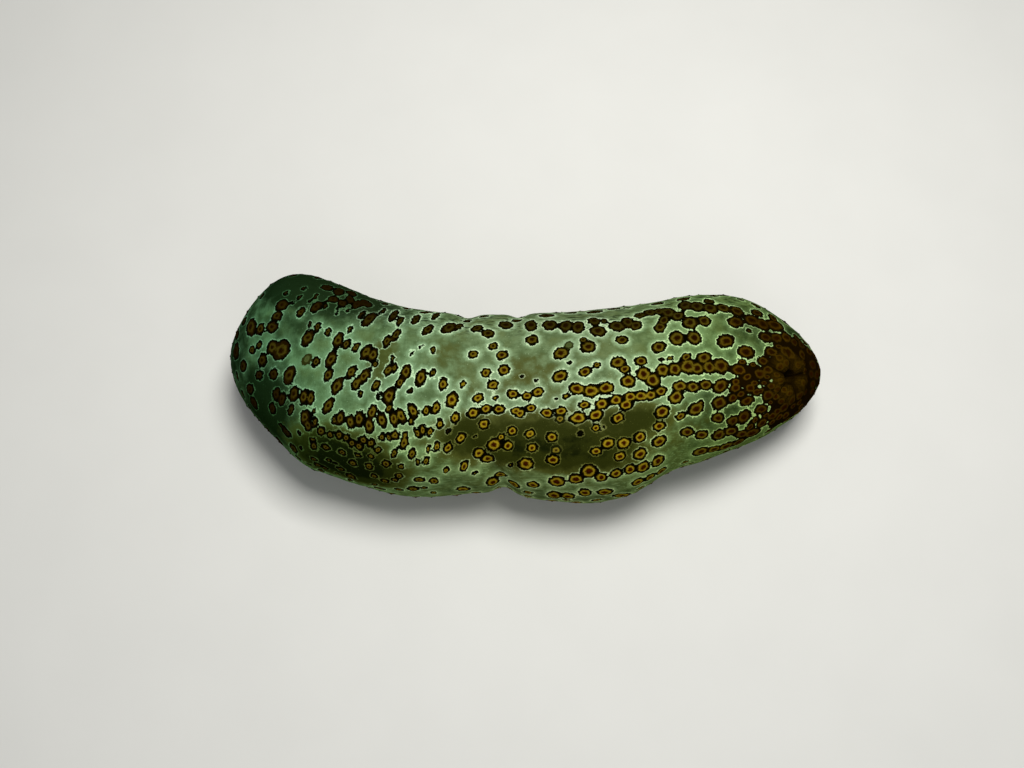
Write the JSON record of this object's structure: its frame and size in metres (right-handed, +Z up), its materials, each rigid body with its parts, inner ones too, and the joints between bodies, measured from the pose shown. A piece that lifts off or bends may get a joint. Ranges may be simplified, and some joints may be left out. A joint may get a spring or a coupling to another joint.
{
  "type": "leopard sea cucumber",
  "caption": "Life-size sea cucumber in a shallow sideways bend: loaf-shaped body with low papillae, flat sole on tube feet, shield tentacles round the mouth and a lobed anus.",
  "frame": {"origin": "on the floor, under the middle of the bounding box", "axes": "+Z up from the sole; +X lengthwise, from the mouth end towards the end with the anus; +Y to the inside of the body's sideways bend"},
  "size_m": [0.3598, 0.14, 0.0902],
  "materials": {
    "skin": "moist satin, grey-green with ringed spots",
    "sole": "moist matt, cream",
    "mouth": "moist satin, dark brown",
    "anus": "moist satin, rust brown"
  },
  "bodies": {
    "root": {"oral_end": "skin", "fore_body": "skin", "mid_body": "skin", "hind_body": "skin", "anal_end": "skin", "fore_sole": "sole", "mid_sole": "sole", "hind_sole": "sole", "mouth_disc": "mouth", "tentacle_01": "mouth", "tentacle_02": "mouth", "tentacle_03": "mouth", "tentacle_04": "mouth", "tentacle_05": "mouth", "tentacle_06": "mouth", "tentacle_07": "mouth", "tentacle_08": "mouth", "tentacle_09": "mouth", "tentacle_10": "mouth", "tentacle_11": "mouth", "tentacle_12": "mouth", "tentacle_13": "mouth", "tentacle_14": "mouth", "tentacle_15": "mouth", "tentacle_16": "mouth", "tentacle_17": "mouth", "tentacle_18": "mouth", "tentacle_19": "mouth", "tentacle_20": "mouth", "anal_valve_1": "anus", "anal_valve_2": "anus", "anal_valve_3": "anus", "anal_valve_4": "anus", "anal_valve_5": "anus"}
  },
  "joints": []
}
